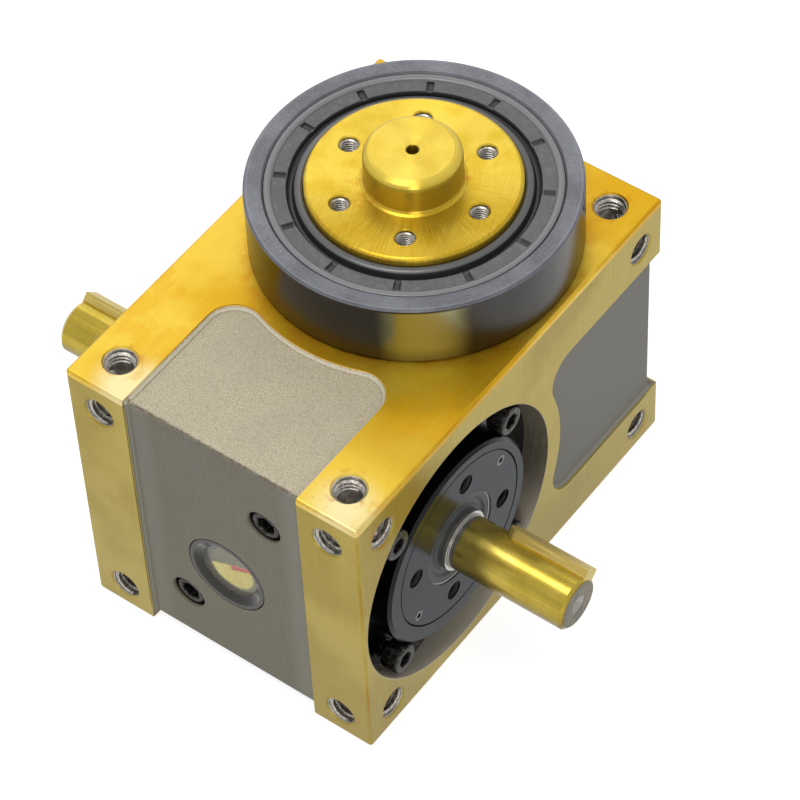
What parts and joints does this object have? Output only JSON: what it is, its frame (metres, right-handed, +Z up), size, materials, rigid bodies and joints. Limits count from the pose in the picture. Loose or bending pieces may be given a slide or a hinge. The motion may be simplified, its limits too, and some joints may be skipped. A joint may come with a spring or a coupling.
{
  "type": "cam indexer",
  "caption": "Flanged roller gear cam indexer: a block housing with a keyed through input shaft, a globoidal cam and a rotating output table with a centring boss.",
  "frame": {"origin": "centre of the output axis on the base face", "axes": "+Z up along the output axis, +X along the input shaft towards the keyed end that the picture shows, +Y from the input shaft's end of the housing to the output's end"},
  "size_m": [0.16, 0.1295, 0.1195],
  "materials": {
    "coated_casting": "machined cast iron under a golden rust-proof film, raw blasted in the reliefs",
    "coated_steel": "turned steel under a golden rust-proof film",
    "dark_steel": "blued turned steel, satin",
    "black_oxide": "black oxide",
    "bearing_steel": "ground bearing steel",
    "seal_rubber": "matt nitrile rubber",
    "bright_steel": "turned bright steel",
    "clear_glass": "clear flat glass",
    "pale_reflector": "pale reflector"
  },
  "bodies": {
    "housing": {"housing": "coated_casting", "bottom_cover": "dark_steel", "bottom_cover_screws": "black_oxide", "bottom_cover_oring": "seal_rubber", "output_bearing_ring": "dark_steel", "output_ring_oring": "seal_rubber", "output_oil_seal": "seal_rubber", "upper_bearing_cup": "bearing_steel", "lower_bearing_cup": "bearing_steel", "sight_glass_body": "bright_steel", "sight_glass_lens": "clear_glass", "sight_glass_reflector": "pale_reflector", "oil_fill_plug": "black_oxide", "oil_drain_plug": "black_oxide", "front_eccentric_sleeve": "dark_steel", "front_clamp_screws": "black_oxide", "front_adjusting_nut": "dark_steel", "front_lock_screws": "black_oxide", "front_oil_seal": "seal_rubber", "front_sleeve_oring": "seal_rubber", "front_bearing_cup": "bearing_steel", "rear_eccentric_sleeve": "dark_steel", "rear_clamp_screws": "black_oxide", "rear_adjusting_nut": "dark_steel", "rear_lock_screws": "black_oxide", "rear_oil_seal": "seal_rubber", "rear_sleeve_oring": "seal_rubber", "rear_bearing_cup": "bearing_steel"},
    "input_shaft": {"camshaft": "coated_steel", "front_key": "coated_steel", "rear_key": "coated_steel", "front_bearing_cone": "bearing_steel", "rear_bearing_cone": "bearing_steel"},
    "output_table": {"output_shaft": "coated_steel", "cam_follower_studs": "bearing_steel", "upper_bearing_cone": "bearing_steel", "lower_bearing_cone": "bearing_steel"},
    "cam_roller_1": {"cam_roller_1": "bearing_steel"},
    "cam_roller_2": {"cam_roller_2": "bearing_steel"},
    "cam_roller_3": {"cam_roller_3": "bearing_steel"},
    "cam_roller_4": {"cam_roller_4": "bearing_steel"},
    "cam_roller_5": {"cam_roller_5": "bearing_steel"},
    "cam_roller_6": {"cam_roller_6": "bearing_steel"},
    "cam_roller_7": {"cam_roller_7": "bearing_steel"},
    "cam_roller_8": {"cam_roller_8": "bearing_steel"},
    "front_bearing_roller_set": {"front_bearing_rollers": "bearing_steel"},
    "rear_bearing_roller_set": {"rear_bearing_rollers": "bearing_steel"},
    "upper_bearing_roller_set": {"upper_bearing_rollers": "bearing_steel"},
    "lower_bearing_roller_set": {"lower_bearing_rollers": "bearing_steel"}
  },
  "joints": [
    {"name": "input_spin", "type": "hinge", "parent": "housing", "child": "input_shaft", "pos_m": [0, -0.0444, 0.0434], "axis": [1, 0, 0], "continuous": true},
    {"name": "output_spin", "type": "hinge", "parent": "housing", "child": "output_table", "pos_m": [0, 0, 0.0434], "axis": [0, 0, 1], "continuous": true},
    {"name": "cam_roller_1_spin", "type": "hinge", "parent": "output_table", "child": "cam_roller_1", "pos_m": [0.01018, -0.02458, 0.0434], "axis": [0.3827, -0.9239, 0], "continuous": true},
    {"name": "cam_roller_2_spin", "type": "hinge", "parent": "output_table", "child": "cam_roller_2", "pos_m": [0.02458, -0.01018, 0.0434], "axis": [0.9239, -0.3827, 0], "continuous": true},
    {"name": "cam_roller_3_spin", "type": "hinge", "parent": "output_table", "child": "cam_roller_3", "pos_m": [0.02458, 0.01018, 0.0434], "axis": [0.9239, 0.3827, 0], "continuous": true},
    {"name": "cam_roller_4_spin", "type": "hinge", "parent": "output_table", "child": "cam_roller_4", "pos_m": [0.01018, 0.02458, 0.0434], "axis": [0.3827, 0.9239, 0], "continuous": true},
    {"name": "cam_roller_5_spin", "type": "hinge", "parent": "output_table", "child": "cam_roller_5", "pos_m": [-0.01018, 0.02458, 0.0434], "axis": [-0.3827, 0.9239, 0], "continuous": true},
    {"name": "cam_roller_6_spin", "type": "hinge", "parent": "output_table", "child": "cam_roller_6", "pos_m": [-0.02458, 0.01018, 0.0434], "axis": [-0.9239, 0.3827, 0], "continuous": true},
    {"name": "cam_roller_7_spin", "type": "hinge", "parent": "output_table", "child": "cam_roller_7", "pos_m": [-0.02458, -0.01018, 0.0434], "axis": [-0.9239, -0.3827, 0], "continuous": true},
    {"name": "cam_roller_8_spin", "type": "hinge", "parent": "output_table", "child": "cam_roller_8", "pos_m": [-0.01018, -0.02458, 0.0434], "axis": [-0.3827, -0.9239, 0], "continuous": true},
    {"name": "front_bearing_rollers_turn", "type": "hinge", "parent": "housing", "child": "front_bearing_roller_set", "pos_m": [0.028, -0.0444, 0.0434], "axis": [1, 0, 0], "continuous": true},
    {"name": "rear_bearing_rollers_turn", "type": "hinge", "parent": "housing", "child": "rear_bearing_roller_set", "pos_m": [-0.028, -0.0444, 0.0434], "axis": [1, 0, 0], "continuous": true},
    {"name": "upper_bearing_rollers_turn", "type": "hinge", "parent": "housing", "child": "upper_bearing_roller_set", "pos_m": [0, 0, 0.088], "axis": [0, 0, 1], "continuous": true},
    {"name": "lower_bearing_rollers_turn", "type": "hinge", "parent": "housing", "child": "lower_bearing_roller_set", "pos_m": [0, 0, 0.017], "axis": [0, 0, 1], "continuous": true}
  ],
  "couplings": [
    {"joint": "output_spin", "follows": "input_spin", "ratio": 0.125},
    {"joint": "front_bearing_rollers_turn", "follows": "input_spin", "ratio": 0.423},
    {"joint": "rear_bearing_rollers_turn", "follows": "input_spin", "ratio": 0.423},
    {"joint": "upper_bearing_rollers_turn", "follows": "input_spin", "ratio": 0.0553},
    {"joint": "lower_bearing_rollers_turn", "follows": "input_spin", "ratio": 0.0538}
  ]
}
